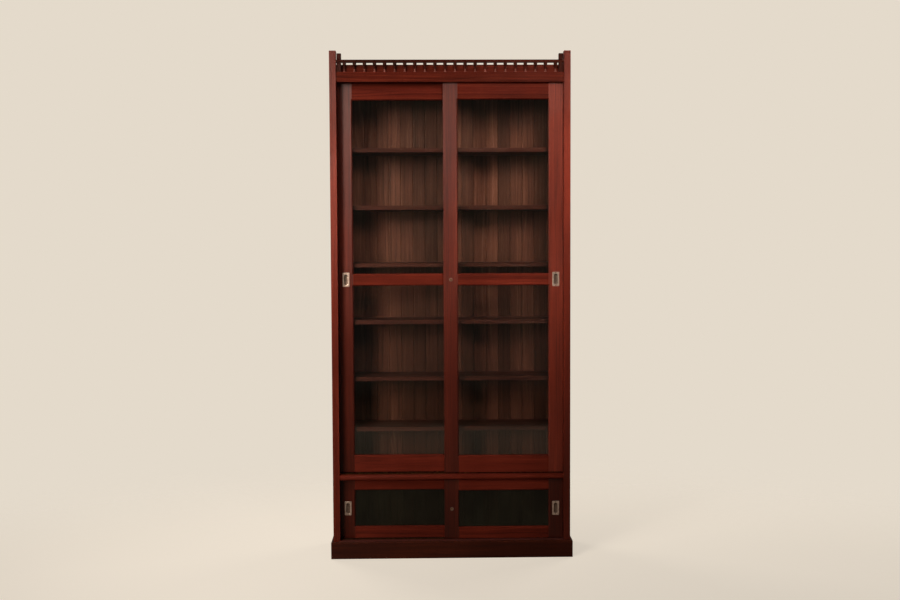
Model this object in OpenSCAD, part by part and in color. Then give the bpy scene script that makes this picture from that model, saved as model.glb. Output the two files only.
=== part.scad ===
// Tall glazed office bookcase with two pairs of sliding doors.
// Right-hand doors run in the front tracks and left-hand doors in the rear tracks.
// +Z is up, the front faces -Y, and the origin is at the middle of the footprint on the floor.
// Inside the case, positions are given as x, t and z: t is the depth behind the gables' front edge.

/* [Case] */
// Width over the two gables
case_w = 1220; // [1120:10:1300]
// Height to the top of the gable horns
case_h = 2590; // [2580:1:2640]
// Depth of the gables, front to back
case_d = 330; // [300:5:400]
// Thickness of the gables
gable_t = 34; // [28:1:36]
// Depth of the horn at each gable's front top corner
horn_d = 40; // [30:1:60]
// Height of the plinth
plinth_h = 88; // [84:1:89]
// How far the plinth stands out from the case
plinth_out = 12; // [8:1:18]

/* [Boards] */
// Height of the bottom board's upper face
floor_z = 90; // [90:1:92]
// Thickness of the bottom board
floor_t = 25; // [18:1:28]
// Height of the middle ledge's upper face
ledge_z = 431; // [429:1:432]
// Thickness of the middle ledge
ledge_t = 28; // [24:1:28]
// Height of the frieze's upper face, where the gallery stands
frieze_z = 2484; // [2480:1:2490]
// Height of the frieze board
frieze_h = 50; // [40:1:60]
// Thickness of the frieze board
frieze_t = 20; // [18:1:22]
// Thickness of the top board
top_t = 39; // [30:1:40]
// Thickness of the back boards
back_t = 16; // [12:1:18]
// Number of matched boards across the back
back_count = 18; // [12:1:24]
// Thickness of the shelves
shelf_t = 22; // [18:1:26]

/* [Doors] */
// Thickness of the door frames
door_t = 24; // [22:1:26]
// Width of the door stiles
stile_w = 74; // [65:1:85]
// Clear gap between the front and rear doors
door_gap = 6; // [5:1:8]
// Sight width of the moulded edge round each pane
splay = 5; // [3:1:6]
// Thickness of the glass
glass_t = 3; // [3:0.5:4]
// Length that a pair of doors overlaps at the middle
door_overlap = 74; // [65:1:85]

/* [Fittings] */
// Height of a flush pull
pull_h = 73; // [60:1:90]
// Width of a flush pull
pull_w = 36; // [30:1:44]
// Diameter of a lock's front rim
lock_rim_d = 18; // [16:1:22]
// Radius of a door roller over its flanges
roller_r = 12; // [11:0.5:13]

/* [Gallery] */
// Number of turned spindles
spindle_count = 22; // [10:1:30]
// Distance between the first and the last spindle
spindle_span = 1068; // [900:2:1070]
// Width of the end posts
post_w = 22; // [16:1:24]

/* [Hidden] */
$fn = 48;
SHELF_NODES = ["shelf_1", "shelf_2", "shelf_3", "shelf_4", "shelf_5", "shelf_6"];

mahogany = [0.46, 0.19, 0.13];
dark_mahogany = [0.28, 0.10, 0.07];
brass = [0.80, 0.72, 0.55];
glass = [0.75, 0.82, 0.80, 0.35];
eps = 1;              // how far a cutter runs past the face it cuts

// the case
front_y = plinth_out - (case_d + plinth_out) / 2;
outer_x = case_w / 2;
inner_x = outer_x - gable_t;
housing = 8;          // depth of the grooves in the gables that hold the boards
board_ends = [-inner_x - housing, inner_x + housing];
back_in = case_d - back_t;
rebate_x = 9;         // how far the back boards are let into each gable
frieze_front = 5;
ledge_nose_t = ledge_t / 2 + 2;  // depth at which the ledge's half-round nosing is centred
top_z = frieze_z + top_t;

// the door tracks, front then rear
frieze_back = frieze_front + frieze_t;
front_t = frieze_back + 1;
rear_t = front_t + door_t + door_gap;
track_end_t = rear_t + door_t + 6;
side_gap = 1;         // gap between a closed door's edge and its gable
door_w = inner_x - side_gap + door_overlap / 2;
left_x = -inner_x + side_gap;
right_x = inner_x - side_gap - door_w;

// heights of the doors
head_t = 26;          // thickness of the grooved head board
track_web_h = 4;      // height of a sill rail's web above the board
track_web_w = 3;      // thickness of that web
upper_door_z = [ledge_z + 7, frieze_z - head_t - 3];
lower_door_z = [floor_z + 3, ledge_z - ledge_t - 3];
upper_panes = [[ledge_z + 95, ledge_z + 972], [ledge_z + 1033, frieze_z - 135]];
lower_panes = [[floor_z + 63, ledge_z - 89]];
tongue_t = 10;        // thickness of the guide tongue on a door's top
tongue_h = 9;
tongue_play = 0.5;    // side play of a tongue in its groove
groove_h = 12;
ledge_groove_h = 10;

// door joinery
rebate_w = 10;        // width of the rebate that holds the glass, round the sight opening
rebate_t = 12;        // depth of that rebate, from the back of the door
bead_w = 9;
glass_play = 2;
tenon_l = 22;
tenon_t = 8;
tenon_shoulder = 12;

// flush pulls and locks
pull_plate_t = 2.2;
pull_proud = 0.7;
pull_cup_d = 11;
pull_slot = [19, 54];
pull_wall = 1.2;
upper_pull_z = (upper_panes[0][1] + upper_panes[1][0]) / 2;
lower_pull_z = (lower_panes[0][0] + lower_panes[0][1]) / 2;
lock_barrel_r = 7;
lock_plug_r = 4.5;
lock_bolt_r = 3.5;
lock_fit = 0.05;      // radial clearance of the plug and of the bolt
lock_split = 12;      // depth at which the plug ends and the bolt begins
strike_size = [7, 3, 24];

// rollers
sill_rail_z = ledge_z + track_web_h;
roller_root_r = roller_r - 2;
roller_z = sill_rail_z + 0.3 + roller_root_r;
roller_w = 8;
roller_groove_w = 3.6;
axle_r = 2;
axle_fit = 0.05;
roller_inset = stile_w + 35;
sheave_wall = 1.5;
sheave_in = 4.5;      // half the clear width between a sheave's cheeks

// shelves
shelf_front = track_end_t + 2;
shelf_gap = 2;
rack_w = 12;
rack_t = 22;
rack_places = [shelf_front + 12, back_in - rack_t - 12];
notch_pitch = 32.8;
notch_deep = 8;
notch_slope = 16;
first_notch = ledge_z + 193;
notch_steps = [44, 35, 26, 17, 8, 0];
batten_h = 20;
rack_top = frieze_z;

function notch_z(i) = first_notch + notch_pitch * notch_steps[i];
function shelf_bottom(i) = notch_z(i) + batten_h;

// Moves the case's own x, t, z onto the part's axes
module in_case() {
    translate([0, front_y, 0]) children();
}

// A board given by its two ends in x, t and z
module board(x, t, z) {
    translate([x[0], t[0], z[0]]) cube([x[1] - x[0], t[1] - t[0], z[1] - z[0]]);
}

// A t-z outline drawn out along x
module along_x(x, outline) {
    translate([x[0], 0, 0]) rotate([90, 0, 90]) linear_extrude(x[1] - x[0]) polygon(outline);
}

// An x-t outline drawn out along z
module along_z(z, outline) {
    translate([0, 0, z[0]]) linear_extrude(z[1] - z[0]) polygon(outline);
}

// ---------- case ----------

// The left gable: full height with a horn at the front, grooved for the boards it holds
module gable() {
    housed = [-inner_x - housing, -inner_x + eps];
    difference() {
        board([-outer_x, -inner_x], [0, case_d], [0, case_h]);
        board([-outer_x - eps, -inner_x + eps], [horn_d, case_d + eps], [top_z, case_h + eps]);
        board(housed, [front_t, case_d + eps], [frieze_z, top_z + eps]);
        board(housed, [ledge_nose_t, back_in], [ledge_z - ledge_t, ledge_z]);
        board(housed, [0, back_in], [floor_z - floor_t, floor_z]);
        board([-inner_x - rebate_x, -inner_x + eps], [back_in, case_d + eps],
            [floor_z - floor_t, top_z + eps]);
    }
}

module left_gable() {
    color(mahogany) in_case() gable();
}

module right_gable() {
    color(mahogany) in_case() mirror([1, 0, 0]) gable();
}

module top_board() {
    color(dark_mahogany) in_case()
        board(board_ends, [front_t, back_in], [frieze_z, top_z]);
}

// A groove over each track for the tongues on the doors' tops
module tongue_grooves(z, deep) {
    for (t = [front_t, rear_t])
        translate([-inner_x - eps, t + door_t / 2 - tongue_t / 2 - tongue_play, z - eps])
            cube([2 * inner_x + 2 * eps, tongue_t + 2 * tongue_play, deep + eps]);
}

module head_board() {
    color(dark_mahogany) in_case() difference() {
        board([-inner_x, inner_x], [frieze_back, track_end_t], [frieze_z - head_t, frieze_z]);
        tongue_grooves(frieze_z - head_t, groove_h);
    }
}

module frieze() {
    color(mahogany) in_case()
        board([-inner_x, inner_x], [frieze_front, frieze_back], [frieze_z - frieze_h, frieze_z]);
}

// The middle ledge, with a half-round nosing between the gables
module mid_ledge() {
    nose_r = ledge_t / 2;
    color(mahogany) in_case() difference() {
        union() {
            board(board_ends, [ledge_nose_t, back_in], [ledge_z - ledge_t, ledge_z]);
            translate([-inner_x, ledge_nose_t, ledge_z - nose_r]) rotate([0, 90, 0])
                cylinder(h = 2 * inner_x, r = nose_r);
        }
        tongue_grooves(ledge_z - ledge_t, ledge_groove_h);
    }
}

module bottom_board() {
    color(dark_mahogany) in_case()
        board(board_ends, [0, back_in], [floor_z - floor_t, floor_z]);
}

// Vertical tongued-and-grooved boards with a V at each joint, let into the gables
module back_boards() {
    pitch = 2 * (inner_x + rebate_x) / back_count;
    tongue = 6;
    play = 0.3;
    vee = 3;
    tongue_span = [back_in + back_t / 2 - 3, back_in + back_t / 2 + 3];
    groove_span = tongue_span + [-play, play];
    color(dark_mahogany) in_case() for (i = [0 : back_count - 1]) {
        x0 = -inner_x - rebate_x + i * pitch;
        x1 = x0 + pitch - play;
        left_edge = i == 0
            ? [[x0, case_d], [x0, back_in]]
            : [[x0, case_d], [x0, groove_span[1]], [x0 + tongue, groove_span[1]],
               [x0 + tongue, groove_span[0]], [x0, groove_span[0]], [x0, back_in + vee], [x0 + vee, back_in]];
        right_edge = i == back_count - 1
            ? [[x1 + play, back_in], [x1 + play, case_d]]
            : [[x1 - vee, back_in], [x1, back_in + vee], [x1, tongue_span[0]],
               [x1 + tongue, tongue_span[0]], [x1 + tongue, tongue_span[1]], [x1, tongue_span[1]],
               [x1, case_d]];
        along_z([floor_z - floor_t, top_z], concat(left_edge, right_edge));
    }
}

// ---------- plinth ----------

plinth_x = outer_x + plinth_out;
chamfer = 4;
plinth_outline = [[-plinth_out, 0], [0, 0], [0, plinth_h], [chamfer - plinth_out, plinth_h],
    [-plinth_out, plinth_h - chamfer]];

kick_t = 22;

module kick_rail() {
    color(dark_mahogany) in_case() board([-inner_x, inner_x], [0, kick_t], [0, floor_z - floor_t]);
}

// The front plinth board, chamfered along its top and mitred at both ends
module plinth_front() {
    color(dark_mahogany) in_case() intersection() {
        along_x([-plinth_x, plinth_x], plinth_outline);
        along_z([-eps, plinth_h + eps],
            [[-plinth_x, -plinth_out], [plinth_x, -plinth_out], [outer_x, 0], [-outer_x, 0]]);
    }
}

// The two side plinth boards, mitred to the front one
module plinth_returns() {
    side_outline = [for (p = plinth_outline) [outer_x - p[0], p[1]]];
    color(dark_mahogany) in_case() for (side = [0, 1]) mirror([side, 0, 0]) intersection() {
        translate([0, case_d, 0]) rotate([90, 0, 0])
            linear_extrude(case_d + plinth_out) polygon(side_outline);
        along_z([-eps, plinth_h + eps],
            [[outer_x, 0], [plinth_x, -plinth_out], [plinth_x, case_d], [outer_x, case_d]]);
    }
}

// Three-cornered glue blocks behind the kick rail, under the bottom board
module plinth_blocks() {
    block = 35;
    block_l = 90;
    spacing = 280;
    corner = [kick_t, floor_z - floor_t];
    color(dark_mahogany) in_case() for (i = [-1.5 : 1.5])
        along_x([i * spacing - block_l / 2, i * spacing + block_l / 2],
            [corner, corner + [block, 0], corner - [0, block]]);
}

// ---------- gallery ----------

post_gap = 4;         // gap between a post and its gable
post_x = inner_x - post_gap - post_w / 2;
post_drop = 13;       // how far the posts' tops are below the gable horns'
rail_h = 15;
gallery_t = frieze_front + frieze_t / 2;
gallery_rail_z = frieze_z + 47;

// The rail over the spindles, fixed between the two horns
module gallery_rail() {
    edge = 3;
    t0 = frieze_front;
    t1 = frieze_back;
    z1 = gallery_rail_z + rail_h;
    color(mahogany) in_case() along_x([-inner_x, inner_x],
        [[t0, gallery_rail_z], [t1, gallery_rail_z], [t1, z1 - edge], [t1 - edge, z1],
         [t0 + edge, z1], [t0, z1 - edge]]);
}

// One turned spindle: slender foot, ring, neck and a broad flared cap under the rail
module spindle() {
    h = gallery_rail_z - frieze_z;
    cap = h - 14;
    rotate_extrude() polygon([[0, 0], [6.5, 0], [6.5, 2], [4, 5], [3.8, 12], [4.6, 18], [6.5, 21],
        [6.5, 23], [4.6, 26], [5, 30], [8, cap], [9, h - 8], [9.6, h - 2], [9.6, h], [0, h]]);
}

module gallery_spindles() {
    pitch = spindle_span / (spindle_count - 1);
    color(mahogany) in_case() for (i = [0 : spindle_count - 1])
        translate([-spindle_span / 2 + i * pitch, gallery_t, frieze_z]) spindle();
}

// End posts, each in two lengths: one under the rail and one standing on it
module gallery_posts() {
    half = post_w / 2;
    spans = [[frieze_z, gallery_rail_z], [gallery_rail_z + rail_h, case_h - post_drop]];
    color(mahogany) in_case() for (x = [-post_x, post_x], z = spans)
        board([x - half, x + half], [frieze_front, frieze_back], z);
}

// ---------- shelves ----------

// A notched upright: the notches face the other upright on the same gable
module rack() {
    count = floor((rack_top - first_notch) / notch_pitch);
    along_x([-inner_x, -inner_x + rack_w], concat(
        [[0, ledge_z], [rack_t, ledge_z]],
        [for (i = [-4 : count - 1]) let (z = first_notch + i * notch_pitch)
            each [[rack_t, z], [rack_t - notch_deep, z], [rack_t, z + notch_slope]]],
        [[rack_t, rack_top], [0, rack_top]]));
}

module shelf_racks() {
    color(dark_mahogany) in_case() for (side = [0, 1]) mirror([side, 0, 0]) {
        translate([0, rack_places[0], 0]) rack();
        translate([0, rack_places[1] + rack_t, 0]) mirror([0, 1, 0]) rack();
    }
}

// Cross battens that drop into the notches and carry the shelf ends
module shelf_battens() {
    t0 = rack_places[0] + rack_t;
    t1 = rack_places[1];
    deep = notch_deep - 0.4;
    color(dark_mahogany) in_case() for (side = [0, 1], i = [0 : len(notch_steps) - 1])
        mirror([side, 0, 0]) translate([0, 0, notch_z(i)])
            along_x([-inner_x + 0.5, -inner_x + rack_w],
                [[t0 - deep, 0], [t1 + deep, 0], [t1, notch_slope - 1], [t1, batten_h],
                 [t0, batten_h], [t0, notch_slope - 1]]);
}

// One shelf, cut round the four uprights
module shelf(i) {
    color(mahogany) in_case() difference() {
        board([-inner_x + shelf_gap, inner_x - shelf_gap], [shelf_front, back_in - shelf_gap],
            [shelf_bottom(i), shelf_bottom(i) + shelf_t]);
        for (side = [0, 1], t = rack_places) mirror([side, 0, 0])
            board([-inner_x - eps, -inner_x + rack_w + 1], [t - 1, t + rack_t + 1],
                [shelf_bottom(i) - eps, shelf_bottom(i) + shelf_t + eps]);
    }
}

// ---------- sill rails ----------

// Brass T rails for one pair of tracks, lying on a board's upper face
module sill_rails(z) {
    foot_w = 12;
    foot_h = 1.2;
    color(brass) in_case() for (t = [front_t, rear_t]) translate([0, t + door_t / 2, z])
        along_x([-inner_x, inner_x],
            [[-foot_w / 2, 0], [foot_w / 2, 0], [foot_w / 2, foot_h], [track_web_w / 2, foot_h],
             [track_web_w / 2, track_web_h], [-track_web_w / 2, track_web_h], [-track_web_w / 2, foot_h],
             [-foot_w / 2, foot_h]]);
}

module upper_sill_rails() { sill_rails(ledge_z); }
module lower_sill_rails() { sill_rails(floor_z); }

// ---------- doors ----------
// A door is drawn with its left edge at x = 0 and its front face at t = 0; its heights are the case's own.

module place_door(x, t) {
    in_case() translate([x, t, 0]) children();
}

// The hole that one pane needs in the frame: sight opening, rebate behind it and splayed front edge
module pane_hole(pane) {
    x0 = stile_w;
    x1 = door_w - stile_w;
    out = splay + eps;
    board([x0, x1], [-eps, door_t + eps], pane);
    board([x0 - rebate_w, x1 + rebate_w], [door_t - rebate_t, door_t + eps],
        [pane[0] - rebate_w, pane[1] + rebate_w]);
    intersection() {
        along_z([pane[0] - out, pane[1] + out],
            [[x0 - out, -eps], [x1 + out, -eps], [x1, splay], [x0, splay]]);
        along_x([x0 - out, x1 + out],
            [[-eps, pane[0] - out], [splay, pane[0]], [splay, pane[1]], [-eps, pane[1] + out]]);
    }
}

// Heights of the rails: below the first pane, between panes and above the last one
function rail_spans(z, panes) = [for (i = [0 : len(panes)])
    [i == 0 ? z[0] : panes[i - 1][1], i == len(panes) ? z[1] : panes[i][0]]];

// Tenons on the rails' ends, and the mortises for them
module tenons(z, panes) {
    mid = (door_t - tenon_t) / 2;
    for (span = rail_spans(z, panes), x = [stile_w - tenon_l, door_w - stile_w])
        board([x, x + tenon_l], [mid, mid + tenon_t], [span[0] + tenon_shoulder, span[1] - tenon_shoulder]);
}

// The tongue along a door's top, between two places across its width
module top_tongue(x, z) {
    board(x, [door_t / 2 - tongue_t / 2, door_t / 2 + tongue_t / 2], [z[1], z[1] + tongue_h]);
}

// The groove along a lower door's foot, which straddles its sill rail
module foot_groove(z) {
    half = track_web_w / 2 + 0.2;
    board([-eps, door_w + eps], [door_t / 2 - half, door_t / 2 + half],
        [z[0] - eps, floor_z + track_web_h + 0.2]);
}

// A slot shape with round ends, standing in the x-z plane and running in the t direction
module slot(size, t) {
    r = size[0] / 2;
    for (z = [r - size[1] / 2, size[1] / 2 - r])
        translate([0, t[0], z]) rotate([-90, 0, 0]) cylinder(h = t[1] - t[0], r = r);
    board([-r, r], t, [r - size[1] / 2, size[1] / 2 - r]);
}

module pull_pocket(x, z) {
    translate([x, 0, z]) {
        board([-pull_w / 2, pull_w / 2], [-eps, pull_plate_t - pull_proud], [-pull_h / 2, pull_h / 2]);
        slot(pull_slot + [2 * pull_wall, 2 * pull_wall], [0, pull_cup_d]);
    }
}

module lock_bore(x, z) {
    translate([x, -eps, z]) rotate([-90, 0, 0]) cylinder(h = door_t + 2 * eps, r = lock_barrel_r);
}

// The two stiles of a door. pull_x is the middle of the stile that holds the pull.
module stiles(z, panes, pull_x, pull_z, lock, grooved) {
    color(mahogany) difference() {
        for (x = [0, door_w - stile_w]) {
            board([x, x + stile_w], [0, door_t], z);
            top_tongue([x, x + stile_w], z);
        }
        for (pane = panes) pane_hole(pane);
        tenons(z, panes);
        pull_pocket(pull_x, pull_z);
        if (lock) lock_bore(stile_w / 2, pull_z);
        if (grooved) foot_groove(z);
    }
}

// The horizontal rails of a door, with their tenons
module rails(z, panes, grooved) {
    color(mahogany) difference() {
        union() {
            for (span = rail_spans(z, panes))
                board([stile_w, door_w - stile_w], [0, door_t], span);
            top_tongue([stile_w, door_w - stile_w], z);
            tenons(z, panes);
        }
        for (pane = panes) pane_hole(pane);
        if (grooved) foot_groove(z);
        else for (x = [roller_inset, door_w - roller_inset]) translate([x, 0, 0]) sheave_mortise();
    }
}

// The panes of a door, lying against the front of their rebates
module panes_of(panes) {
    reach = rebate_w - glass_play;
    color(glass) for (pane = panes)
        board([stile_w - reach, door_w - stile_w + reach],
            [door_t - rebate_t, door_t - rebate_t + glass_t], [pane[0] - reach, pane[1] + reach]);
}

// Beads that hold the glass from behind: two upright and two level round each pane
module beads(panes) {
    t0 = door_t - rebate_t + glass_t;
    slant = 3;
    x0 = stile_w - rebate_w;
    x1 = door_w - stile_w + rebate_w;
    color(mahogany) for (pane = panes) {
        z0 = pane[0] - rebate_w;
        z1 = pane[1] + rebate_w;
        along_z([z0, z1], [[x0, t0], [x0 + bead_w, t0], [x0 + bead_w - slant, door_t], [x0, door_t]]);
        along_z([z0, z1], [[x1, t0], [x1, door_t], [x1 - bead_w + slant, door_t], [x1 - bead_w, t0]]);
        along_x([x0 + bead_w, x1 - bead_w],
            [[t0, z0], [door_t, z0], [door_t, z0 + bead_w - slant], [t0, z0 + bead_w]]);
        along_x([x0 + bead_w, x1 - bead_w],
            [[t0, z1], [t0, z1 - bead_w], [door_t, z1 - bead_w + slant], [door_t, z1]]);
    }
}

// A flush pull: a plate let into the stile, with a slot-shaped cup behind it
module pull(x, z) {
    color(brass) translate([x, 0, z]) difference() {
        union() {
            board([-pull_w / 2, pull_w / 2], [-pull_proud, pull_plate_t - pull_proud],
                [-pull_h / 2, pull_h / 2]);
            slot(pull_slot + [2 * pull_wall, 2 * pull_wall], [0, pull_cup_d]);
        }
        slot(pull_slot, [-eps - pull_proud, pull_cup_d - pull_wall]);
    }
}

// The lock's body: a rim at the front and a barrel through the stile, bored for the plug and the bolt
module lock_case(z) {
    rim_t = 1.5;
    color(brass) translate([stile_w / 2, 0, z]) rotate([-90, 0, 0]) difference() {
        union() {
            translate([0, 0, -rim_t]) cylinder(h = rim_t, r = lock_rim_d / 2);
            cylinder(h = door_t, r = lock_barrel_r);
        }
        translate([0, 0, -rim_t - eps])
            cylinder(h = rim_t + eps + lock_split, r = lock_plug_r + lock_fit);
        translate([0, 0, lock_split - eps])
            cylinder(h = door_t - lock_split + 2 * eps, r = lock_bolt_r + lock_fit);
    }
}

// The turning plug with its key slot
module lock_plug(z) {
    proud = 1;
    key_slot = [1.4, 6, 8];
    color(brass) translate([stile_w / 2, 0, z]) rotate([-90, 0, 0]) translate([0, 0, -proud]) difference() {
        cylinder(h = lock_split + proud - 0.2, r = lock_plug_r);
        translate([-key_slot[0] / 2, -key_slot[1] / 2, -eps]) cube(key_slot + [0, 0, eps]);
    }
}

// The bolt, drawn back level with the back of the door
module lock_bolt(z) {
    bolt_l = 7;
    color(brass) translate([stile_w / 2, door_t - bolt_l, z]) rotate([-90, 0, 0])
        cylinder(h = bolt_l, r = lock_bolt_r);
}

// A lug on the rear door's face, just left of the bolt
module strike(z) {
    middle = right_x + stile_w / 2 - left_x;
    right_edge = middle - lock_bolt_r - 1;
    color(brass) translate([right_edge - strike_size[0], -strike_size[1], z - strike_size[2] / 2])
        cube(strike_size);
}

// ---------- rollers ----------

sheave_plate = [36, 14, sheave_wall];

module sheave_mortise() {
    middle = door_t / 2;
    half = sheave_plate[0] / 2;
    side = sheave_in + sheave_wall;
    board([-roller_r - 1.5, roller_r + 1.5], [middle - side, middle + side],
        [upper_door_z[0] - eps, roller_z + roller_r + 1]);
    board([-half, half], [middle - sheave_plate[1] / 2, middle + sheave_plate[1] / 2],
        [upper_door_z[0] - eps, upper_door_z[0] + sheave_wall]);
}

// One sheave: a slotted plate under the door, two cheeks and the axle between them
module sheave(x) {
    middle = door_t / 2;
    half = sheave_plate[0] / 2;
    cheek = 9;
    translate([x, 0, 0]) {
        difference() {
            board([-half, half], [middle - sheave_plate[1] / 2, middle + sheave_plate[1] / 2],
                [upper_door_z[0], upper_door_z[0] + sheave_wall]);
            board([-roller_r - 0.8, roller_r + 0.8], [middle - sheave_in, middle + sheave_in],
                [upper_door_z[0] - eps, upper_door_z[0] + sheave_wall + eps]);
        }
        for (t = [middle - sheave_in - sheave_wall, middle + sheave_in])
            board([-cheek, cheek], [t, t + sheave_wall], [upper_door_z[0], roller_z + cheek]);
        translate([0, middle - sheave_in - 0.5, roller_z]) rotate([-90, 0, 0])
            cylinder(h = 2 * sheave_in + 1, r = axle_r);
    }
}

module sheaves() {
    color(brass) for (x = [roller_inset, door_w - roller_inset]) sheave(x);
}

// A grooved brass roller on its axle
module roller(x) {
    half = roller_w / 2;
    in = roller_groove_w / 2;
    bore = axle_r + axle_fit;
    color(brass) translate([x, door_t / 2, roller_z]) rotate([-90, 0, 0]) rotate_extrude()
        polygon([[bore, -half], [roller_r - 0.5, -half], [roller_r, -in - 0.6], [roller_r, -in - 0.2],
            [roller_root_r, -in], [roller_root_r, in], [roller_r, in + 0.2], [roller_r, in + 0.6],
            [roller_r - 0.5, half], [bore, half]]);
}

// ---------- the four doors' pieces ----------

left_pull_x = stile_w / 2;
right_pull_x = door_w - stile_w / 2;

module in_rear_track() { place_door(left_x, rear_t) children(); }
module in_front_track() { place_door(right_x, front_t) children(); }

module upper_left_door_stiles() {
    in_rear_track() stiles(upper_door_z, upper_panes, left_pull_x, upper_pull_z, false, false);
}
module upper_left_door_rails() { in_rear_track() rails(upper_door_z, upper_panes, false); }
module upper_left_door_glass() { in_rear_track() panes_of(upper_panes); }
module upper_left_door_beads() { in_rear_track() beads(upper_panes); }
module upper_left_door_pull() { in_rear_track() pull(left_pull_x, upper_pull_z); }
module upper_left_door_strike() { in_rear_track() strike(upper_pull_z); }
module upper_left_door_sheaves() { in_rear_track() sheaves(); }
module upper_left_roller_outer() { in_rear_track() roller(roller_inset); }
module upper_left_roller_inner() { in_rear_track() roller(door_w - roller_inset); }

module upper_right_door_stiles() {
    in_front_track() stiles(upper_door_z, upper_panes, right_pull_x, upper_pull_z, true, false);
}
module upper_right_door_rails() { in_front_track() rails(upper_door_z, upper_panes, false); }
module upper_right_door_glass() { in_front_track() panes_of(upper_panes); }
module upper_right_door_beads() { in_front_track() beads(upper_panes); }
module upper_right_door_pull() { in_front_track() pull(right_pull_x, upper_pull_z); }
module upper_right_door_sheaves() { in_front_track() sheaves(); }
module upper_right_roller_outer() { in_front_track() roller(door_w - roller_inset); }
module upper_right_roller_inner() { in_front_track() roller(roller_inset); }
module upper_lock_case() { in_front_track() lock_case(upper_pull_z); }
module upper_lock_plug() { in_front_track() lock_plug(upper_pull_z); }
module upper_lock_bolt() { in_front_track() lock_bolt(upper_pull_z); }

module lower_left_door_stiles() {
    in_rear_track() stiles(lower_door_z, lower_panes, left_pull_x, lower_pull_z, false, true);
}
module lower_left_door_rails() { in_rear_track() rails(lower_door_z, lower_panes, true); }
module lower_left_door_glass() { in_rear_track() panes_of(lower_panes); }
module lower_left_door_beads() { in_rear_track() beads(lower_panes); }
module lower_left_door_pull() { in_rear_track() pull(left_pull_x, lower_pull_z); }
module lower_left_door_strike() { in_rear_track() strike(lower_pull_z); }

module lower_right_door_stiles() {
    in_front_track() stiles(lower_door_z, lower_panes, right_pull_x, lower_pull_z, true, true);
}
module lower_right_door_rails() { in_front_track() rails(lower_door_z, lower_panes, true); }
module lower_right_door_glass() { in_front_track() panes_of(lower_panes); }
module lower_right_door_beads() { in_front_track() beads(lower_panes); }
module lower_right_door_pull() { in_front_track() pull(right_pull_x, lower_pull_z); }
module lower_lock_case() { in_front_track() lock_case(lower_pull_z); }
module lower_lock_plug() { in_front_track() lock_plug(lower_pull_z); }
module lower_lock_bolt() { in_front_track() lock_bolt(lower_pull_z); }

left_gable();
right_gable();
top_board();
head_board();
frieze();
gallery_rail();
gallery_spindles();
gallery_posts();
mid_ledge();
bottom_board();
back_boards();
kick_rail();
plinth_front();
plinth_returns();
plinth_blocks();
shelf_racks();
shelf_battens();
for (i = [0 : len(SHELF_NODES) - 1])
    shelf(i);
upper_sill_rails();
lower_sill_rails();
upper_left_door_stiles();
upper_left_door_rails();
upper_left_door_glass();
upper_left_door_beads();
upper_left_door_pull();
upper_left_door_strike();
upper_left_door_sheaves();
upper_left_roller_outer();
upper_left_roller_inner();
upper_right_door_stiles();
upper_right_door_rails();
upper_right_door_glass();
upper_right_door_beads();
upper_right_door_pull();
upper_right_door_sheaves();
upper_right_roller_outer();
upper_right_roller_inner();
upper_lock_case();
upper_lock_plug();
upper_lock_bolt();
lower_left_door_stiles();
lower_left_door_rails();
lower_left_door_glass();
lower_left_door_beads();
lower_left_door_pull();
lower_left_door_strike();
lower_right_door_stiles();
lower_right_door_rails();
lower_right_door_glass();
lower_right_door_beads();
lower_right_door_pull();
lower_lock_case();
lower_lock_plug();
lower_lock_bolt();
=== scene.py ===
"""Looks of the sliding-door office bookcase: materials, pull plates, light and camera round the
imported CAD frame."""
import math

import bmesh
import bpy
from mathutils import Matrix, Vector


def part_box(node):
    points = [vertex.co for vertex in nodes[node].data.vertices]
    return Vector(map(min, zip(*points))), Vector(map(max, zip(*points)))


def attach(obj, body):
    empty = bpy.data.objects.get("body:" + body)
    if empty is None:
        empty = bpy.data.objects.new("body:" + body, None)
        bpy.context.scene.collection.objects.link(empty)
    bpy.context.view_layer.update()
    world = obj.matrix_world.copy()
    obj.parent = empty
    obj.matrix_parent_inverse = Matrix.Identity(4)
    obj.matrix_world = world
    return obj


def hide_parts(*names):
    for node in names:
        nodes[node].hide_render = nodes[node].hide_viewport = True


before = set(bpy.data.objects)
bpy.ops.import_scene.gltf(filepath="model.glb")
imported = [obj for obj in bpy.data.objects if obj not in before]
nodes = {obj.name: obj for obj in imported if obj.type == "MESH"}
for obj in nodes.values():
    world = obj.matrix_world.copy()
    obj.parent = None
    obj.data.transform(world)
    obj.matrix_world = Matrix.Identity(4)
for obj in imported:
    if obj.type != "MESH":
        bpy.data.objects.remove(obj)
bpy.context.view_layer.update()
scene = bpy.context.scene


# ---------- camera ----------

LENS_MM = 44.0
SENSOR_MM = 36.0
CAMERA_DISTANCE = 5.60     # in front of the gables' front edges
CAMERA_HEIGHT = 1.614
CAMERA_X = -0.118
CAMERA_PITCH = 2.90        # degrees below level
CAMERA_YAW = -1.15         # degrees, positive to the left
CAMERA_ROLL = -0.25        # degrees


def make_camera():
    """A camera in front of the case at eye height, looking slightly down."""
    data = bpy.data.cameras.new("photo_camera")
    data.lens = LENS_MM
    data.sensor_width = SENSOR_MM
    camera = bpy.data.objects.new("photo_camera", data)
    scene.collection.objects.link(camera)
    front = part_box("left_gable")[0][1]
    camera.location = (CAMERA_X, front - CAMERA_DISTANCE, CAMERA_HEIGHT)
    yaw = Matrix.Rotation(math.radians(CAMERA_YAW), 4, "Z")
    tilt = Matrix.Rotation(math.radians(90 - CAMERA_PITCH), 4, "X")
    roll = Matrix.Rotation(math.radians(CAMERA_ROLL), 4, "Z")
    camera.rotation_euler = (yaw @ tilt @ roll).to_euler()
    scene.camera = camera


make_camera()


# ---------- material helpers ----------

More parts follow.
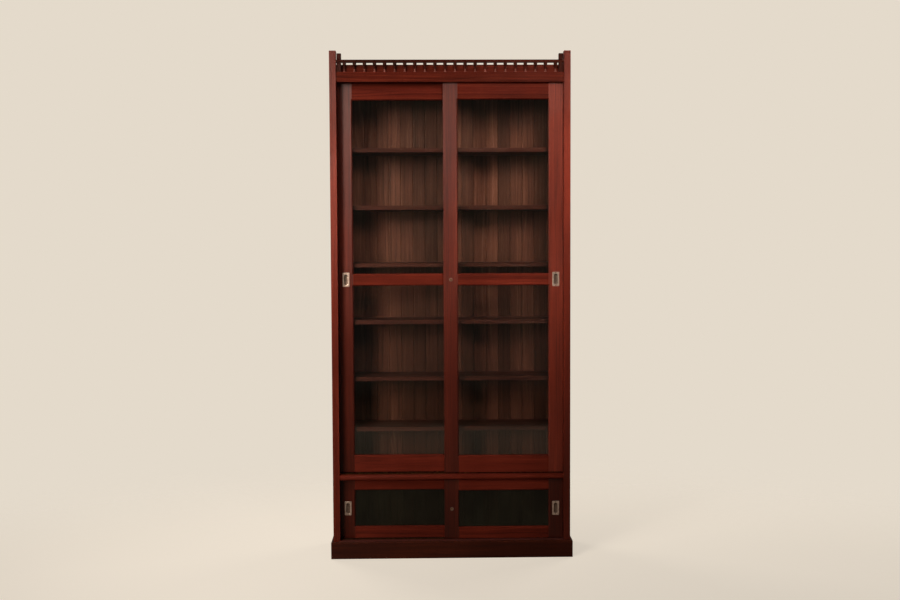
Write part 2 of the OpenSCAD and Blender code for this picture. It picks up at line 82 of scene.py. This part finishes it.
def rgb(red, green, blue):
    """A linear RGBA colour from sRGB values of 0 to 255."""
    def linear(value):
        value /= 255
        return value / 12.92 if value <= 0.04045 else ((value + 0.055) / 1.055) ** 2.4
    return (linear(red), linear(green), linear(blue), 1.0)


def brighter(colour, factor):
    """A colour times a factor, which darkens it if it is below 1."""
    return tuple(min(1.0, part * factor) for part in colour[:3]) + (1.0,)


class Graph:
    """A material whose nodes are added and joined by short calls."""

    def __init__(self, name):
        self.material = bpy.data.materials.new(name)
        self.material.use_nodes = True
        self.tree = self.material.node_tree
        self.shader = self.tree.nodes["Principled BSDF"]
        self.output = self.tree.nodes["Material Output"]
        self.place = self.add("ShaderNodeTexCoord").outputs["Object"]
        self.axes = self.add("ShaderNodeSeparateXYZ", Vector=self.place).outputs

    def put(self, socket, value):
        """Links an output to a socket, or sets the socket's own value."""
        if isinstance(value, bpy.types.NodeSocket):
            self.tree.links.new(value, socket)
        else:
            socket.default_value = value

    def add(self, kind, **inputs):
        """A new node. An underscore in an input's name stands for a space."""
        node = self.tree.nodes.new(kind)
        for key, value in inputs.items():
            self.put(node.inputs[key.replace("_", " ")], value)
        return node

    def set(self, **inputs):
        """Sets sockets of the Principled shader."""
        for key, value in inputs.items():
            self.put(self.shader.inputs[key.replace("_", " ")], value)

    def math(self, operation, a, b=0.0):
        node = self.tree.nodes.new("ShaderNodeMath")
        node.operation = operation
        self.put(node.inputs[0], a)
        self.put(node.inputs[1], b)
        return node.outputs[0]

    def plus(self, a, b):
        return self.math("ADD", a, b)

    def times(self, a, b):
        return self.math("MULTIPLY", a, b)

    def stretch(self, scale, shift=(0, 0, 0), start=None):
        """The object's coordinates, or start in their place, times scale and then moved by shift."""
        node = self.tree.nodes.new("ShaderNodeVectorMath")
        node.operation = "MULTIPLY_ADD"
        self.put(node.inputs[0], self.place if start is None else start)
        self.put(node.inputs[1], scale)
        self.put(node.inputs[2], shift)
        return node.outputs[0]

    def noise(self, vector, detail=3.0, rough=0.5, distortion=0.0):
        return self.add("ShaderNodeTexNoise", Vector=vector, Scale=1.0, Detail=detail,
                        Roughness=rough, Distortion=distortion).outputs["Fac"]

    def noise_line(self, along, detail, rough):
        """One-dimensional noise."""
        node = self.tree.nodes.new("ShaderNodeTexNoise")
        node.noise_dimensions = "1D"
        self.put(node.inputs["W"], along)
        self.put(node.inputs["Scale"], 1.0)
        self.put(node.inputs["Detail"], detail)
        self.put(node.inputs["Roughness"], rough)
        return node.outputs["Fac"]

    def ramp(self, value, low, high, to_low=0.0, to_high=1.0):
        """A smooth step from to_low at low to to_high at high."""
        node = self.add("ShaderNodeMapRange")
        node.interpolation_type = "SMOOTHSTEP"
        for index, item in enumerate((value, low, high, to_low, to_high)):
            self.put(node.inputs[index], item)
        return node.outputs[0]

    def mix(self, factor, a, b, blend="MIX"):
        """Two colours mixed, with factor as the share of the second."""
        node = self.tree.nodes.new("ShaderNodeMix")
        node.data_type = "RGBA"
        node.blend_type = blend
        self.put(node.inputs[0], factor)
        self.put(node.inputs[6], a)
        self.put(node.inputs[7], b)
        return node.outputs[2]

    def shaded(self, colour, factor):
        """A colour times a grey factor."""
        grey = self.add("ShaderNodeCombineXYZ", X=factor, Y=factor, Z=factor).outputs[0]
        return self.mix(1.0, colour, grey, "MULTIPLY")

    def bump(self, height, strength, distance, normal=None):
        node = self.add("ShaderNodeBump", Height=height, Strength=strength, Distance=distance)
        if normal is not None:
            self.put(node.inputs["Normal"], normal)
        return node.outputs["Normal"]


# ---------- wood ----------

GRAIN_AXIS = {"x": 0, "y": 1, "z": 2}

# Scale of each figure in the wood, per metre: along the grain, and across it.
WANDER = (0.9, 4.0)
FINE_WANDER = (6.0, 30.0)
RIBBON = (1.7, 42.0)
FIBRE = (14.0, 620.0)
PORES = (75.0, 1700.0)
RIPPLE = (3.0, 16.0)

# The growth rings are flattened circles round a pith that lies outside the board.
PITH = (0.31, 0.22)            # how far off it is, in the two directions across the grain
RING_SQUASH = 0.6
RINGS_PER_METRE = 210.0
WANDER_REACH = 0.07            # how far the rings bend in and out along the length
FINE_WANDER_REACH = 0.004

GROWTH_SHARE = 0.35            # what each figure adds to the tone
RIBBON_SHARE = 0.40
FIBRE_SHARE = 0.25
TONE_SPREAD = 0.18             # from the middle tone to the fully dark or fully light one
PAINTED_SHADE_FULL = 0.9               # height up to which an upright's painted shade is as dark as at the floor
PAINTED_SHADE_TOP = 1.8                # height from which it has no painted shade
# Colour of the painted highlight on the gallery spindles' feet.
PAINTED_FOOT_HIGHLIGHT = rgb(132, 76, 66)


def grain_noise(g, axis, scale, start=None, shift=(0, 0, 0), **settings):
    """Noise that is drawn out along the grain."""
    along, across = scale
    factors = [across, across, across]
    factors[GRAIN_AXIS[axis]] = along
    return g.noise(g.stretch(tuple(factors), shift, start), **settings)


def plank_tones(g, pitch, shift):
    """A tone of 0 to 1 that differs from board to board, and the place in the wood where each is cut."""
    number = g.math("FLOOR", g.math("DIVIDE", g.axes[0], pitch))
    white = g.tree.nodes.new("ShaderNodeTexWhiteNoise")
    white.noise_dimensions = "1D"
    g.put(white.inputs["W"], number)
    tone = white.outputs["Value"]
    cut = g.add("ShaderNodeCombineXYZ", X=0.0, Y=tone, Z=g.times(tone, 9.0)).outputs[0]
    return tone, g.stretch((3.0, 3.0, 3.0), shift, cut)


def growth_lines(g, axis, placed):
    """Lines by distance from a pith outside the board, bent slowly along the length."""
    wander = grain_noise(g, axis, WANDER, placed, detail=2.0)
    wander_fine = grain_noise(g, axis, FINE_WANDER, placed, detail=2.0)
    parts = g.add("ShaderNodeSeparateXYZ", Vector=placed).outputs
    one, other = [parts[index] for index in range(3) if index != GRAIN_AXIS[axis]]
    one = g.plus(one, PITH[0])
    other = g.times(g.plus(other, PITH[1]), RING_SQUASH)
    radius = g.math("SQRT", g.plus(g.times(one, one), g.times(other, other)))
    radius = g.plus(radius, g.times(wander, WANDER_REACH))
    radius = g.plus(radius, g.times(wander_fine, FINE_WANDER_REACH))
    return g.noise_line(g.times(radius, RINGS_PER_METRE), detail=3.0, rough=0.6)


def light_and_dark(g, placed, foot, lighter_past, plank_tone):
    """The factor by which the wood is lighter or darker: in clouds, in painted shade low down, in painted
    light past a given x, and by the board.
    """
    cloud = g.noise(g.stretch((2.2, 2.2, 1.5), (1, 2, 3), placed), detail=3.0)
    shade = g.ramp(cloud, 0.28, 0.72, 0.78, 1.18)
    # Painted shade: the wood darkens towards the floor, to foot at the floor and none above the top height.
    if foot < 1:
        shade = g.times(shade, g.ramp(g.axes[2], PAINTED_SHADE_FULL, PAINTED_SHADE_TOP, foot, 1.0))
    # Painted light: past x the wood is painted lighter by factor.
    if lighter_past is not None:
        x, factor = lighter_past
        shade = g.times(shade, g.ramp(g.axes[0], x - 0.01, x + 0.01, 1.0, factor))
    if plank_tone is not None:
        shade = g.times(shade, g.plus(g.times(plank_tone, 0.75), 0.62))
    return shade


def wood(name, axis, colours, roughness=0.42, coat=0.12, gloss=0.4, shift=(0.0, 0.0, 0.0), plank=None,
         wear=0.0, foot=1.0, pale_below=None, lighter_past=None):
    """Mahogany: growth lines, ribbon figure, fine dark pores and uneven polish. plank is the pitch of
    boards whose tones differ, and wear lets pale rubbed wood show through in patches. foot is how dark
    an upright is at the floor against higher up: painted shade. pale_below is the height below which a
    spindle's foot is painted pale: a painted highlight. lighter_past is (x, factor): past x the wood is
    painted lighter by factor, painted light on the outer of a pair of stiles."""
    dark, middle, light = colours
    g = Graph(name)
    plank_tone, offset = (None, shift) if plank is None else plank_tones(g, plank, shift)
    placed = g.stretch((1.0, 1.0, 1.0), offset)
    growth = growth_lines(g, axis, placed)
    ribbon = grain_noise(g, axis, RIBBON, placed, shift=(5, 3, 1), detail=2.0, distortion=0.4)
    fibre = grain_noise(g, axis, FIBRE, placed, detail=3.0, rough=0.6)
    pores = g.ramp(grain_noise(g, axis, PORES, placed, detail=1.0), 0.60, 0.70)

    tone = g.plus(g.times(growth, GROWTH_SHARE), g.times(ribbon, RIBBON_SHARE))
    tone = g.plus(tone, g.times(fibre, FIBRE_SHARE))
    colour = g.mix(g.ramp(tone, 0.5 - TONE_SPREAD, 0.5), dark, middle)
    colour = g.mix(g.ramp(tone, 0.5, 0.5 + TONE_SPREAD), colour, light)
    colour = g.mix(g.times(pores, 0.7), colour, brighter(dark, 0.4))
    colour = g.shaded(colour, light_and_dark(g, placed, foot, lighter_past, plank_tone))
    if wear > 0:
        patches = g.noise(g.stretch((46, 46, 46)), detail=4.0, rough=0.65)
        colour = g.mix(g.times(g.ramp(patches, 0.40, 0.62), wear), colour, brighter(light, 1.6))
    # Painted highlight: below pale_below a spindle's foot is painted pale in place of the light it catches;
    # rubbed is that highlight's colour.
    if pale_below is not None:
        rubbed = g.mix(g.ramp(tone, 0.35, 0.65), brighter(PAINTED_FOOT_HIGHLIGHT, 0.6), brighter(PAINTED_FOOT_HIGHLIGHT, 1.1))
        colour = g.mix(g.ramp(g.axes[2], pale_below + 0.002, pale_below - 0.002), colour, rubbed)

    smear = g.noise(g.stretch((8, 8, 5), shift), detail=4.0, rough=0.6)
    uneven = g.ramp(smear, 0.3, 0.7, roughness - 0.06, roughness + 0.12)
    grain_normal = g.bump(g.math("SUBTRACT", g.times(fibre, 0.5), pores), 0.25, 0.0003)
    ripple = grain_noise(g, axis, RIPPLE, shift=shift, detail=1.0)
    across = g.add("ShaderNodeCombineXYZ", X=float(axis != "x"), Z=float(axis == "x")).outputs[0]
    g.set(Base_Color=colour, Roughness=g.plus(uneven, g.times(pores, 0.12)), Anisotropic=0.8,
          Tangent=across, Coat_Weight=coat, Coat_Roughness=0.3, Specular_IOR_Level=gloss,
          Normal=g.bump(ripple, 0.12, 0.002, grain_normal))
    return g.material


def wood_pair(name, axis, colours, **looks):
    """A wood for faces, and the same wood rubbed pale in patches for arrises."""
    face = wood(name, axis, colours, **looks)
    edge = wood(name + "_edge", axis, colours, wear=0.3, **looks)
    return face, edge


# ---------- metal and glass ----------

DUST = rgb(96, 92, 72)


def metal(name, bright, dull, roughness, tarnish, metallic=1.0):
    """Handled metal: dull patches, fine scratches up and down, and a slightly uneven surface."""
    g = Graph(name)
    patch = g.ramp(g.noise(g.stretch((85, 85, 85)), detail=5.0, rough=0.65), 0.40, 0.68)
    scratch = g.noise(g.stretch((900, 900, 70)), detail=2.0)
    dented = g.noise(g.stretch((160, 160, 160)), detail=1.0)
    scratched = g.plus(g.times(scratch, 0.1), roughness - 0.05)
    g.set(Base_Color=g.mix(g.times(patch, tarnish), bright, dull), Metallic=metallic,
          Roughness=g.plus(g.times(patch, 0.22), scratched),
          Normal=g.bump(dented, 0.15, 0.0006, g.bump(scratch, 0.15, 0.0001)))
    return g.material


def pane_glass(name, tint, haze):
    """Old drawn glass: faintly wavy, with a thin smeared film of dust."""
    g = Graph(name)
    g.tree.nodes.remove(g.shader)
    waves = g.noise(g.stretch((4.5, 4.5, 2.0)), detail=2.0, rough=0.4)
    normal = g.bump(waves, 0.08, 0.01)
    clear = g.add("ShaderNodeBsdfTransparent", Color=tint)
    gloss = g.add("ShaderNodeBsdfGlossy", Roughness=0.03, Normal=normal)
    sheet = g.add("ShaderNodeMixShader", Fac=g.add("ShaderNodeFresnel", IOR=1.5, Normal=normal).outputs[0])
    g.put(sheet.inputs[1], clear.outputs[0])
    g.put(sheet.inputs[2], gloss.outputs[0])
    film = g.add("ShaderNodeBsdfDiffuse", Color=DUST)
    smear = g.noise(g.stretch((6, 6, 3.5)), detail=5.0, rough=0.62)
    coated = g.add("ShaderNodeMixShader", Fac=g.ramp(smear, 0.38, 0.75, haze * 0.4, haze * 2.0))
    g.put(coated.inputs[1], sheet.outputs[0])
    g.put(coated.inputs[2], film.outputs[0])
    g.put(g.output.inputs["Surface"], coated.outputs[0])
    return g.material


# ---------- the object's materials ----------

# Dark, middle and light tone of each part's wood.
POLISHED = (rgb(61, 22, 15), rgb(97, 34, 23), rgb(129, 50, 34))
STILE = (rgb(59, 21, 14), rgb(94, 33, 21), rgb(125, 49, 32))
GABLE = (rgb(78, 29, 20), rgb(123, 45, 31), rgb(158, 64, 44))
FRIEZE = (rgb(53, 18, 12), rgb(86, 30, 19), rgb(118, 45, 29))
GALLERY = (rgb(36, 13, 8), rgb(58, 21, 13), rgb(80, 31, 19))
BACKING = (rgb(83, 48, 40), rgb(124, 72, 60), rgb(154, 95, 79))
INSIDE = (rgb(62, 30, 25), rgb(96, 46, 39), rgb(124, 65, 53))
PLINTH = (rgb(39, 14, 8), rgb(62, 24, 13), rgb(86, 36, 21))

BACK_BOARDS = 18
back_low, back_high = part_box("back_boards")
board_pitch = (back_high[0] - back_low[0]) / BACK_BOARDS

SPINDLE_FOOT = 0.016       # height of the slender foot of a gallery spindle
spindle_foot_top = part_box("gallery_spindles")[0][2] + SPINDLE_FOOT

OUTER_STILE_PAINTED_LIGHT = 1.75    # painted light: the upper right door's outer stile is painted that much lighter than its inner one
stiles_low, stiles_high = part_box("upper_right_door_stiles")
between_stiles = (stiles_low[0] + stiles_high[0]) / 2

LEVEL_POLISH = dict(roughness=0.48, gloss=0.06, coat=0.0)
PLINTH_POLISH = dict(roughness=0.5, gloss=0.2, coat=0.0)
INSIDE_POLISH = dict(roughness=0.5, coat=0.05)

# foot makes these uprights and the gables darker towards the floor: painted shade.
upright, upright_edge = wood_pair("polished_upright", "z", STILE, foot=0.5)
level, level_edge = wood_pair("polished_level", "x", POLISHED, shift=(3.1, 0.0, 1.7), **LEVEL_POLISH)
paired_upright, paired_edge = wood_pair("paired_upright", "z", STILE, foot=0.62, shift=(0.9, 0.0, 1.9),
                                        lighter_past=(between_stiles, OUTER_STILE_PAINTED_LIGHT))
gable_face, gable_edge = wood_pair("gable_upright", "z", GABLE, gloss=0.25, coat=0.05, foot=0.5,
                                   shift=(1.3, 0.0, 2.9))
frieze_level = wood("frieze_level", "x", FRIEZE, shift=(0.7, 0.0, 5.1), **LEVEL_POLISH)
gallery_level = wood("gallery_level", "x", GALLERY, roughness=0.5, gloss=0.12, coat=0.0)
gallery_upright = wood("gallery_upright", "z", GALLERY, roughness=0.5, gloss=0.08, coat=0.0)
# Its feet are painted pale below spindle_foot_top: a painted highlight.
spindle_wood = wood("gallery_spindle", "z", GALLERY, roughness=0.5, gloss=0.15, coat=0.0,
                    pale_below=spindle_foot_top)
plinth_level = wood("plinth_level", "x", PLINTH, shift=(0, 2, 9), **PLINTH_POLISH)
plinth_depth = wood("plinth_depth", "y", PLINTH, shift=(4, 2, 1), **PLINTH_POLISH)
plinth_edge = wood("plinth_edge", "x", PLINTH, wear=0.4, **PLINTH_POLISH)
inside_level = wood("inside_level", "x", INSIDE, **INSIDE_POLISH)
inside_upright = wood("inside_upright", "z", INSIDE, **INSIDE_POLISH)
inside_depth = wood("inside_depth", "y", INSIDE, **INSIDE_POLISH)
# foot makes the back boards darker towards the floor: painted shade.
backing = wood("matched_boards", "z", BACKING, roughness=0.6, gloss=0.2, coat=0.0, plank=board_pitch,
               shift=(-back_low[0], 0, 0), foot=0.7)
pale_brass = metal("pale_brass", rgb(236, 210, 194), rgb(140, 108, 88), 0.36, 0.4, metallic=0.75)
# A darker brass: inside the pulls' finger cups it is painted shade; the lock cases take it too.
cup_brass = metal("cup_brass", rgb(150, 126, 112), rgb(84, 64, 54), 0.5, 0.6, metallic=0.7)
dull_brass = metal("dull_brass", rgb(150, 118, 66), rgb(62, 44, 24), 0.42, 0.8)
# Darkened brass for the sill rails: partly old tarnished metal, partly painted shade of the dark gap under
# the doors.
rail_brass = metal("rail_brass", rgb(96, 76, 46), rgb(44, 32, 22), 0.52, 0.8)
upper_glass = pane_glass("upper_glass", (0.90, 0.93, 0.90, 1), 0.015)
lower_glass = pane_glass("lower_glass", (0.50, 0.56, 0.50, 1), 0.05)

# Words of a node's name, and its materials: the faces', and where there is a second one, that of the
# arrises that its bevel makes. The first row whose words are all in the name is used.
LOOKS = (
    ("upper _glass", [upper_glass]),
    ("lower _glass", [lower_glass]),
    ("_pull", [pale_brass]),
    ("_lock_case", [cup_brass]),
    ("_lock_", [dull_brass]),
    ("strike", [dull_brass]),
    ("roller", [dull_brass]),
    ("sheaves", [dull_brass]),
    ("sill_rails", [rail_brass]),
    ("back_boards", [backing]),
    ("shelf_racks", [inside_upright]),
    ("shelf_battens", [inside_depth]),
    ("shelf_", [inside_level, inside_level]),
    ("head_board", [inside_level, inside_level]),
    ("bottom_board", [inside_level, inside_level]),
    ("kick_rail", [inside_level, inside_level]),
    ("plinth_blocks", [inside_level, inside_level]),
    ("plinth_front", [plinth_level, plinth_edge]),
    ("plinth_returns", [plinth_depth, plinth_edge]),
    ("gallery_rail", [gallery_level]),
    ("gallery_posts", [gallery_upright]),
    ("gallery_spindles", [spindle_wood]),
    ("top_board", [frieze_level]),
    ("frieze", [frieze_level, level_edge]),
    ("_gable", [gable_face, gable_edge]),
    ("upper_right_door_stiles", [paired_upright, paired_edge]),
    ("_stiles", [upright, upright_edge]),
    ("", [level, level_edge]),
)


def materials_for(name):
    """The materials of a CAD node."""
    for words, materials in LOOKS:
        if all(word in name for word in words.split()):
            return materials


for name, node in nodes.items():
    node.data.materials.clear()
    for material in materials_for(name):
        node.data.materials.append(material)


# ---------- softened arrises on the CAD nodes ----------

BEVEL_ANGLE = math.radians(28)
WELD_DISTANCE = 0.00002
DOOR_ARRIS = 0.0006
SHELF_ARRIS = 0.0014
CASE_ARRIS = 0.0015
CASE_PIECES = ("left_gable", "right_gable", "frieze", "plinth_front", "plinth_returns", "gallery_rail",
               "gallery_posts", "mid_ledge")


def soften(node, width):
    """Joins the node's split vertices and rounds its sharp arrises, which take the rubbed material."""
    weld = node.modifiers.new("weld", "WELD")
    weld.merge_threshold = WELD_DISTANCE
    bevel = node.modifiers.new("bevel", "BEVEL")
    bevel.width = width
    bevel.segments = 2
    bevel.limit_method = "ANGLE"
    bevel.angle_limit = BEVEL_ANGLE
    bevel.harden_normals = True
    bevel.use_clamp_overlap = True
    if len(node.data.materials) > 1:
        bevel.material = 1


for name, node in nodes.items():
    if name.endswith(("_stiles", "_rails")) and "sill" not in name:
        soften(node, DOOR_ARRIS)
    elif name in CASE_PIECES:
        soften(node, CASE_ARRIS)
    elif name.startswith("shelf_") and name[-1].isdigit():
        soften(node, SHELF_ARRIS)


# ---------- recessed pulls ----------

PULL_METALS = (pale_brass, cup_brass, dull_brass)
PLATE, CUP, SCREW = 0, 1, 2    # places in PULL_METALS

PLATE_THICKNESS = 0.0022
PLATE_CORNERS = (0.0026, 0.006)    # radius at the top and at the foot
SLOT_WIDTH = 0.019
SLOT_HEIGHT = 0.054
SLOT_CORNER = 0.0094
CUP_WALL = 0.0012
CUP_CORNER = 0.0104
CORNER_STEPS = 7               # vertices on each round corner

SCREW_RADIUS = 0.0028
SCREW_SLOT = 0.13              # half the driver's slot, as a share of the screw's radius
SCREW_STEPS = 10
# Section of the screw's dome: share of the radius in from the rim, and how far proud of the plate.
SCREW_DOME = ((0.0, -0.00006), (0.0, 0.0001), (0.14, 0.00026), (0.4, 0.00036))


def rounded_loop(work, width, height, top_radius, foot_radius, depth):
    """A ring of vertices round an upright rectangle, with one radius for its top and one for its foot."""
    ring = []
    corners = ((1, 1, top_radius, 0), (-1, 1, top_radius, 90),
               (-1, -1, foot_radius, 180), (1, -1, foot_radius, 270))
    for side, end, radius, start in corners:
        for step in range(CORNER_STEPS):
            angle = math.radians(start + 90 * step / (CORNER_STEPS - 1))
            x = side * (width / 2 - radius) + radius * math.cos(angle)
            z = end * (height / 2 - radius) + radius * math.sin(angle)
            ring.append(work.verts.new((x, depth, z)))
    return ring


def skin(work, rings, materials):
    """Quads from ring to ring, and a cap on the first and the last ring. materials has one for the first
    cap and one for each ring after it, and the last cap takes the last of them."""
    work.faces.new(list(reversed(rings[0]))).material_index = materials[0]
    for near, far, material in zip(rings, rings[1:], materials[1:]):
        for index in range(len(near)):
            after = (index + 1) % len(near)
            face = work.faces.new((near[index], near[after], far[after], far[index]))
            face.material_index = material
    work.faces.new(rings[-1]).material_index = materials[-1]


def slotted_screw(work, centre, radius, turn):
    """Two domed halves either side of the driver's slot, on the face at depth 0."""
    gap = radius * SCREW_SLOT
    turned = Matrix.Rotation(turn, 2)
    for side in (-1, 1):
        rims = []
        for inset, lift in SCREW_DOME:
            reach = radius * (1 - inset)
            start = math.acos(min(1.0, gap / reach))
            ring = []
            for step in range(SCREW_STEPS):
                angle = -start + 2 * start * step / (SCREW_STEPS - 1)
                spot = turned @ Vector((side * reach * math.cos(angle), side * reach * math.sin(angle)))
                ring.append(work.verts.new((centre[0] + spot.x, -lift, centre[1] + spot.y)))
            rims.append(ring)
        skin(work, rims, [SCREW] * len(rims))


def new_piece(name, work, materials, body, stands_for):
    """Turns a bmesh into a smooth-shaded piece that rides on a body in place of a CAD node."""
    bmesh.ops.recalc_face_normals(work, faces=work.faces)
    mesh = bpy.data.meshes.new(name)
    work.to_mesh(mesh)
    work.free()
    for material in materials:
        mesh.materials.append(material)
    for face in mesh.polygons:
        face.use_smooth = True
    mesh.set_sharp_from_angle(angle=math.radians(35))
    piece = bpy.data.objects.new(name, mesh)
    scene.collection.objects.link(piece)
    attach(piece, body)
    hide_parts(stands_for)


def slot_loop(grown, depth):
    """The finger slot's outline with every side moved out by a distance."""
    radius = SLOT_CORNER + grown
    return SLOT_WIDTH + 2 * grown, SLOT_HEIGHT + 2 * grown, radius, radius, depth


def make_pull(node, body):
    """A plate with a dished finger cup and a screw at each end."""
    low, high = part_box(node)
    width, height = high[0] - low[0], high[2] - low[2]
    depth = high[1] - low[1]
    middle = (low + high) / 2
    cup = (SLOT_WIDTH + 2 * CUP_WALL, SLOT_HEIGHT + 2 * CUP_WALL)
    # From the cup's back, forward over the plate's edge, and in through the slot's rounded lip.
    plate_rings = (
        (cup[0] - 0.004, cup[1] - 0.004, 0.008, 0.008, depth),
        (*cup, CUP_CORNER, CUP_CORNER, depth - 0.002),
        (*cup, CUP_CORNER, CUP_CORNER, PLATE_THICKNESS),
        (width, height, *PLATE_CORNERS, PLATE_THICKNESS),
        (width, height, *PLATE_CORNERS, 0.0006),
        (width - 0.0006, height - 0.0006, 0.0025, 0.0058, 0.0002),
        (width - 0.0018, height - 0.0018, 0.0022, 0.0055, 0.0),
        slot_loop(0.0015, 0.0),
        slot_loop(0.0006, 0.0003),
        slot_loop(0.0, 0.0013),
    )
    # Down the cup's inside to its dished floor, which takes the darker brass: painted shade in the cup.
    cup_rings = (
        slot_loop(-0.0003, 0.0075),
        slot_loop(-0.0015, 0.0098),
        slot_loop(-0.0045, 0.0105),
    )
    work = bmesh.new()
    rings = [rounded_loop(work, *ring) for ring in plate_rings + cup_rings]
    skin(work, rings, [PLATE] * len(plate_rings) + [CUP] * len(cup_rings))
    for end in (-1, 1):
        spot = (0.0, end * (height + SLOT_HEIGHT) / 4)
        slotted_screw(work, spot, SCREW_RADIUS, math.radians(35 + 50 * end))
    bmesh.ops.translate(work, verts=work.verts, vec=(middle[0], low[1], middle[2]))
    new_piece(node + "_plate", work, PULL_METALS, body, node)


for door in ("upper_left_door", "upper_right_door", "lower_left_door", "lower_right_door"):
    make_pull(door + "_pull", door)


# ---------- stage ----------

PALE = rgb(228, 218, 203)
FLOOR_SEEN = (0.55, 0.52, 0.48, 1)
FLOOR_UNSEEN = (0.16, 0.13, 0.10, 1)       # its colour for the light that it throws back
FLOOR_MIRRORED = (0.50, 0.38, 0.28, 1)     # what polish and glass reflect of it
FLOOR_LIFT = 0.72                          # its own light towards the camera
FLOOR_RADIUS = 5.4
FLOOR_CLEAR = 3.0                          # the floor starts to fade into the background here
FLOOR_CENTRE = (0.0, -2.6, 0.0)
AMBIENT = (1.0, 0.93, 0.86, 1)
AMBIENT_STRENGTH = 0.05
WARM = (1.0, 0.90, 0.78)


def floor_material():
    """It throws little light up, and what polish and glass reflect of it is a brown strip that starts
    some way in front of the case and is brighter further out."""
    g = Graph("pale_floor")
    rays = g.add("ShaderNodeLightPath").outputs
    seen = rays["Is Camera Ray"]
    outward = g.ramp(g.axes[1], 1.2, -1.2, 0.12, 0.5)
    strip = g.times(outward, g.ramp(g.axes[1], -1.8, -1.35))
    strip = g.times(rays["Is Glossy Ray"], strip)
    distance = g.tree.nodes.new("ShaderNodeVectorMath")
    distance.operation = "LENGTH"
    g.put(distance.inputs[0], g.place)
    g.set(Base_Color=g.mix(seen, FLOOR_UNSEEN, FLOOR_SEEN), Roughness=0.8,
          Emission_Color=g.mix(seen, FLOOR_MIRRORED, PALE),
          Emission_Strength=g.plus(strip, g.times(seen, FLOOR_LIFT)),
          Alpha=g.ramp(distance.outputs["Value"], FLOOR_CLEAR, FLOOR_RADIUS * 0.97, 1.0, 0.0))
    return g.material


def make_floor():
    """A round pale floor that fades into the background."""
    mesh = bpy.data.meshes.new("floor")
    work = bmesh.new()
    bmesh.ops.create_circle(work, cap_ends=True, segments=96, radius=FLOOR_RADIUS)
    work.to_mesh(mesh)
    work.free()
    mesh.materials.append(floor_material())
    floor = bpy.data.objects.new("floor", mesh)
    floor.location = FLOOR_CENTRE
    scene.collection.objects.link(floor)


def make_world():
    """A pale background for the camera, and a dim one for the light and reflections on the case."""
    world = bpy.data.worlds.new("studio")
    world.use_nodes = True
    tree = world.node_tree
    seen = tree.nodes["Background"]
    seen.inputs["Color"].default_value = PALE
    seen.inputs["Strength"].default_value = 1.0
    ambient = tree.nodes.new("ShaderNodeBackground")
    ambient.inputs["Color"].default_value = AMBIENT
    ambient.inputs["Strength"].default_value = AMBIENT_STRENGTH
    rays = tree.nodes.new("ShaderNodeLightPath")
    chosen = tree.nodes.new("ShaderNodeMixShader")
    tree.links.new(rays.outputs["Is Camera Ray"], chosen.inputs[0])
    tree.links.new(ambient.outputs[0], chosen.inputs[1])
    tree.links.new(seen.outputs[0], chosen.inputs[2])
    tree.links.new(chosen.outputs[0], tree.nodes["World Output"].inputs["Surface"])
    scene.world = world


def area_light(name, place, target, side, power, spread=180, mirrored=True):
    """A warm square lamp with sides in metres, its power in watts and its spread in degrees. One that
    isn't mirrored lights the case without showing in its polish and glass."""
    data = bpy.data.lights.new(name, "AREA")
    data.shape = "RECTANGLE"
    data.size = side
    data.size_y = side
    data.energy = power
    data.color = WARM
    data.spread = math.radians(spread)
    lamp = bpy.data.objects.new(name, data)
    scene.collection.objects.link(lamp)
    lamp.location = place
    lamp.rotation_euler = (Vector(target) - Vector(place)).to_track_quat("-Z", "Y").to_euler()
    lamp.visible_glossy = mirrored
    return lamp


def keep_off_panes(lamp):
    """Leaves the panes out of what a lamp lights, so that they don't mirror it as a white patch."""
    panes = bpy.data.collections.new("panes")
    for name, node in nodes.items():
        if name.endswith("_glass"):
            panes.objects.link(node)
    lamp.light_linking.receiver_collection = panes
    for item in panes.collection_objects:
        item.light_linking.link_state = "EXCLUDE"


make_floor()
make_world()
area_light("high_left", (-1.8, -2.4, 3.6), (-0.5, -0.1, 1.9), 1.4, 16.5, spread=100)
left = area_light("left", (-2.4, -3.4, 2.6), (-0.58, -0.15, 1.7), 0.8, 5.0, spread=40)
keep_off_panes(left)
area_light("high_right", (1.1, -2.9, 3.3), (0.6, -0.15, 2.0), 1.3, 7.0, spread=45, mirrored=False)
area_light("low_left", (-2.2, -4.0, 1.5), (-0.8, -0.1, 0.5), 1.2, 6.5, spread=50, mirrored=False)
area_light("back_left", (-3.2, 3.6, 3.4), (0, 0, 1.3), 2.2, 60)
area_light("back_right", (3.4, 3.0, 2.8), (0, 0, 1.3), 2.2, 45)
scene.view_settings.view_transform = "Standard"
